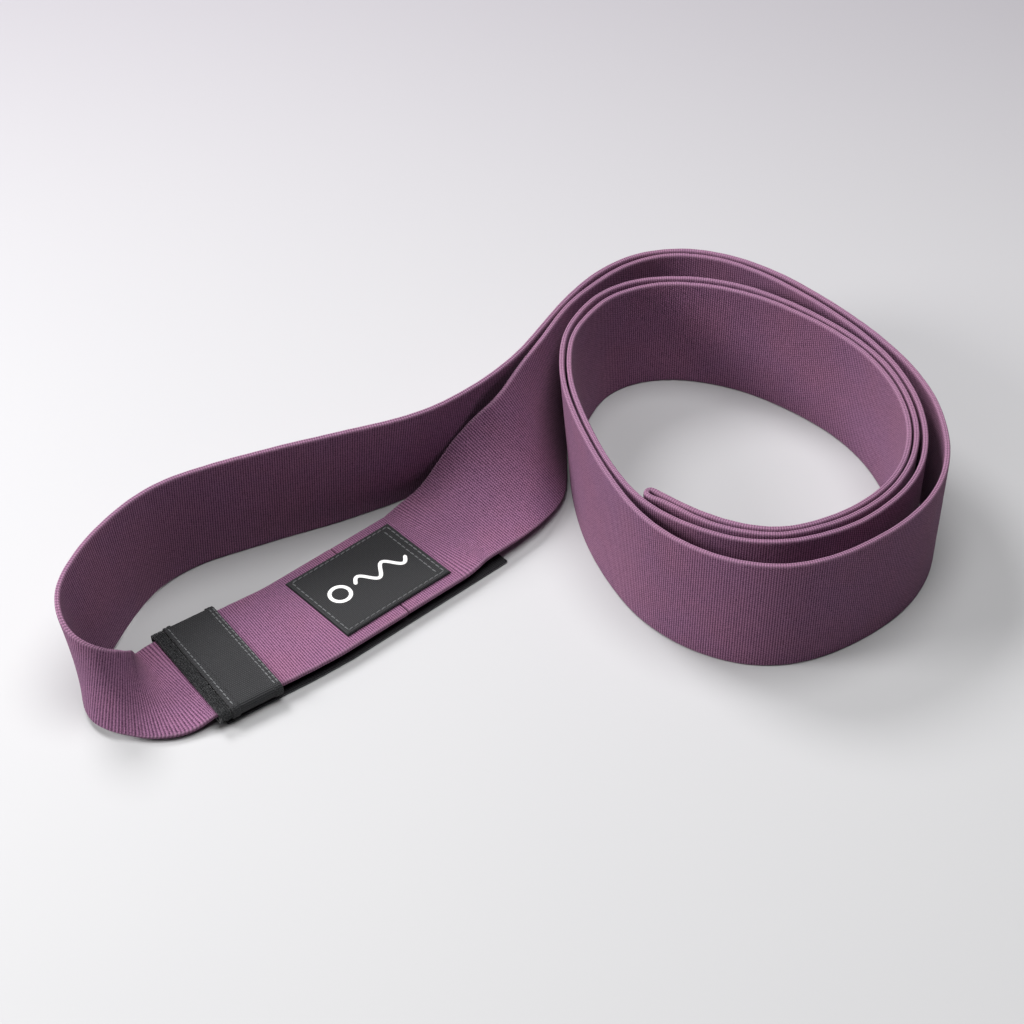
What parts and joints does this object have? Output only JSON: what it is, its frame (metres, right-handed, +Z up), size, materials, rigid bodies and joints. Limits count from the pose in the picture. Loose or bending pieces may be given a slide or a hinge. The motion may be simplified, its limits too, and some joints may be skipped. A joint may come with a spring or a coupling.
{
  "type": "stretching strap",
  "caption": "Closed loop of woven elastic webbing on edge, wound in an open coil with a hand loop, a flat labelled run and a sliding keeper sleeve.",
  "frame": {"origin": "middle of the overall box, on the floor the strap stands on", "axes": "+X from the hand loop towards the coil, +Y towards the back of the coil, +Z up"},
  "size_m": [0.3236, 0.2328, 0.0501],
  "materials": {
    "purple_webbing": "fine transverse ribs, matte",
    "black_backing": "matte woven",
    "black_label": "matte woven",
    "black_keeper": "matte woven",
    "black_pile": "short pile",
    "grey_thread": "sewing thread",
    "plum_thread": "sewing thread",
    "white_print": "raised print"
  },
  "bodies": {
    "strap": {"strap_webbing": "purple_webbing", "backing_strip": "black_backing", "label_patch": "black_label", "label_stitch_perimeter": "grey_thread", "label_stitch_end_row": "grey_thread", "label_motif_wave": "white_print", "label_motif_ring": "white_print", "joint_stitch_keeper_side": "plum_thread", "joint_stitch_coil_side": "plum_thread"},
    "keeper": {"keeper_sleeve": "black_keeper", "keeper_pile_edge": "black_pile", "keeper_hem_row_outer": "grey_thread", "keeper_hem_row_inner": "grey_thread", "keeper_far_row": "grey_thread"}
  },
  "joints": [
    {"name": "keeper_slide", "type": "slide", "parent": "strap", "child": "keeper", "axis": [0.809, 0.5878, 0], "range_m": [0, 0.026]}
  ]
}
